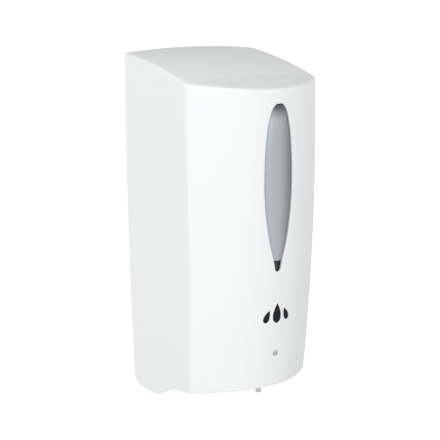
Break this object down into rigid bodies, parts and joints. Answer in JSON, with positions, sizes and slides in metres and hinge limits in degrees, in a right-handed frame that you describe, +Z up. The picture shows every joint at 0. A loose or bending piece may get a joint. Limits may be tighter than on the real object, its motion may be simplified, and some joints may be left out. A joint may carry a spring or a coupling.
{
  "type": "wall mounted soap dispenser",
  "caption": "Wall mounted touch-free soap dispenser: white bottom-hinged cover with a leaf-shaped window over a refillable tank, hose pump with gear motor, cells and hand sensor.",
  "frame": {"origin": "centre of the wall plate's back face, on the wall plane, halfway up the cover", "axes": "+X to the right when facing the front, +Y into the wall, +Z up"},
  "size_m": [0.13, 0.1092, 0.2722],
  "materials": {
    "cover_white": "smooth satin gloss",
    "inner_white": "fine matt texture",
    "window_smoke": "clear smoky tint",
    "frame_black": "matt",
    "indicator_grey": "frosted",
    "steel": "zinc plated",
    "tank_milky": "milky translucent",
    "cap_blue": "fine grain",
    "cell_jacket": "printed jacket, plain",
    "brass": "nickelled spring brass",
    "gear_white": "acetal",
    "pump_grey": "matt",
    "clear_plastic": "clear",
    "tube_silicone": "translucent silicone",
    "rubber_black": "moulded",
    "board_green": "lacquered laminate",
    "switch_red": "moulded",
    "lead_red": "PVC",
    "lead_black": "PVC"
  },
  "bodies": {
    "wall_unit": {"wall_plate": "inner_white", "latch_bracket": "steel", "latch_pin": "steel", "tank": "tank_milky", "tank_lid": "tank_milky", "chassis": "inner_white", "hinge_pin_left": "steel", "hinge_pin_right": "steel", "chassis_screw_left": "steel", "chassis_screw_right": "steel", "battery_cell_1": "cell_jacket", "battery_cell_2": "cell_jacket", "battery_cell_3": "cell_jacket", "battery_cell_4": "cell_jacket", "contact_positive": "brass", "contact_middle_link": "brass", "contact_negative": "brass", "idler_pin": "steel", "gearbox_case": "pump_grey", "motor": "steel", "pump_housing": "pump_grey", "pump_lid": "clear_plastic", "pump_hose": "tube_silicone", "inlet_sleeve": "rubber_black", "nozzle": "tube_silicone", "nozzle_ring": "inner_white", "front_panel": "inner_white", "panel_screw_upper_left": "steel", "panel_screw_lower_left": "steel", "panel_screw_upper_right": "steel", "panel_screw_lower_right": "steel", "floor_panel": "inner_white", "sensor_lens_left": "frame_black", "sensor_lens_right": "frame_black", "control_board": "board_green", "ir_emitter": "frame_black", "ir_receiver": "frame_black", "indicator_led": "indicator_grey", "power_switch": "frame_black", "battery_lead_positive": "lead_red", "battery_lead_negative": "lead_black", "motor_lead": "lead_red"},
    "cover": {"cover": "cover_white", "window_pane": "window_smoke", "window_frame": "frame_black", "indicator_lens": "indicator_grey"},
    "latch": {"latch_lever": "pump_grey"},
    "fill_cap": {"fill_cap": "cap_blue"},
    "battery_door": {"battery_door": "inner_white", "door_hinge_rod": "steel", "door_contact_left": "brass", "door_contact_right": "brass"},
    "pump_shaft": {"output_gear": "gear_white", "pump_rotor": "gear_white"},
    "roller_1": {"pump_roller_1": "pump_grey"},
    "roller_2": {"pump_roller_2": "pump_grey"},
    "roller_3": {"pump_roller_3": "pump_grey"},
    "idler": {"idler_gear": "gear_white"},
    "motor_shaft": {"motor_pinion": "brass"},
    "switch": {"switch_knob": "switch_red"}
  },
  "joints": [
    {"name": "cover_hinge", "type": "hinge", "parent": "wall_unit", "child": "cover", "pos_m": [0, -0.033, -0.1175], "axis": [1, 0, 0], "range_deg": [0, 95]},
    {"name": "latch_pivot", "type": "hinge", "parent": "wall_unit", "child": "latch", "pos_m": [0, -0.026, 0.118], "axis": [1, 0, 0], "range_deg": [0, 6]},
    {"name": "fill_cap_turn", "type": "hinge", "parent": "wall_unit", "child": "fill_cap", "pos_m": [0, -0.05, 0.1], "axis": [0, 0, 1], "range_deg": [0, 90]},
    {"name": "battery_door_hinge", "type": "hinge", "parent": "wall_unit", "child": "battery_door", "pos_m": [0, -0.0064, -0.1134], "axis": [1, 0, 0], "range_deg": [0, 90]},
    {"name": "pump_shaft_spin", "type": "hinge", "parent": "wall_unit", "child": "pump_shaft", "pos_m": [-0.01, -0.08, -0.076], "axis": [0, 1, 0], "continuous": true},
    {"name": "roller_1_spin", "type": "hinge", "parent": "pump_shaft", "child": "roller_1", "pos_m": [-0.01, -0.0862, -0.067], "axis": [0, 1, 0], "continuous": true},
    {"name": "roller_2_spin", "type": "hinge", "parent": "pump_shaft", "child": "roller_2", "pos_m": [-0.01779, -0.0862, -0.0805], "axis": [0, 1, 0], "continuous": true},
    {"name": "roller_3_spin", "type": "hinge", "parent": "pump_shaft", "child": "roller_3", "pos_m": [-0.00221, -0.0862, -0.0805], "axis": [0, 1, 0], "continuous": true},
    {"name": "idler_spin", "type": "hinge", "parent": "wall_unit", "child": "idler", "pos_m": [0.0092, -0.072, -0.076], "axis": [0, 1, 0], "continuous": true},
    {"name": "motor_shaft_spin", "type": "hinge", "parent": "wall_unit", "child": "motor_shaft", "pos_m": [0.0284, -0.069, -0.076], "axis": [0, 1, 0], "continuous": true},
    {"name": "switch_slide", "type": "slide", "parent": "wall_unit", "child": "switch", "axis": [0, 0, -1], "range_m": [0, 0.005]}
  ],
  "couplings": [
    {"joint": "idler_spin", "follows": "pump_shaft_spin", "ratio": -3},
    {"joint": "motor_shaft_spin", "follows": "pump_shaft_spin", "ratio": 9},
    {"joint": "roller_1_spin", "follows": "pump_shaft_spin", "ratio": -3.7353},
    {"joint": "roller_2_spin", "follows": "pump_shaft_spin", "ratio": -3.7353},
    {"joint": "roller_3_spin", "follows": "pump_shaft_spin", "ratio": -3.7353}
  ]
}
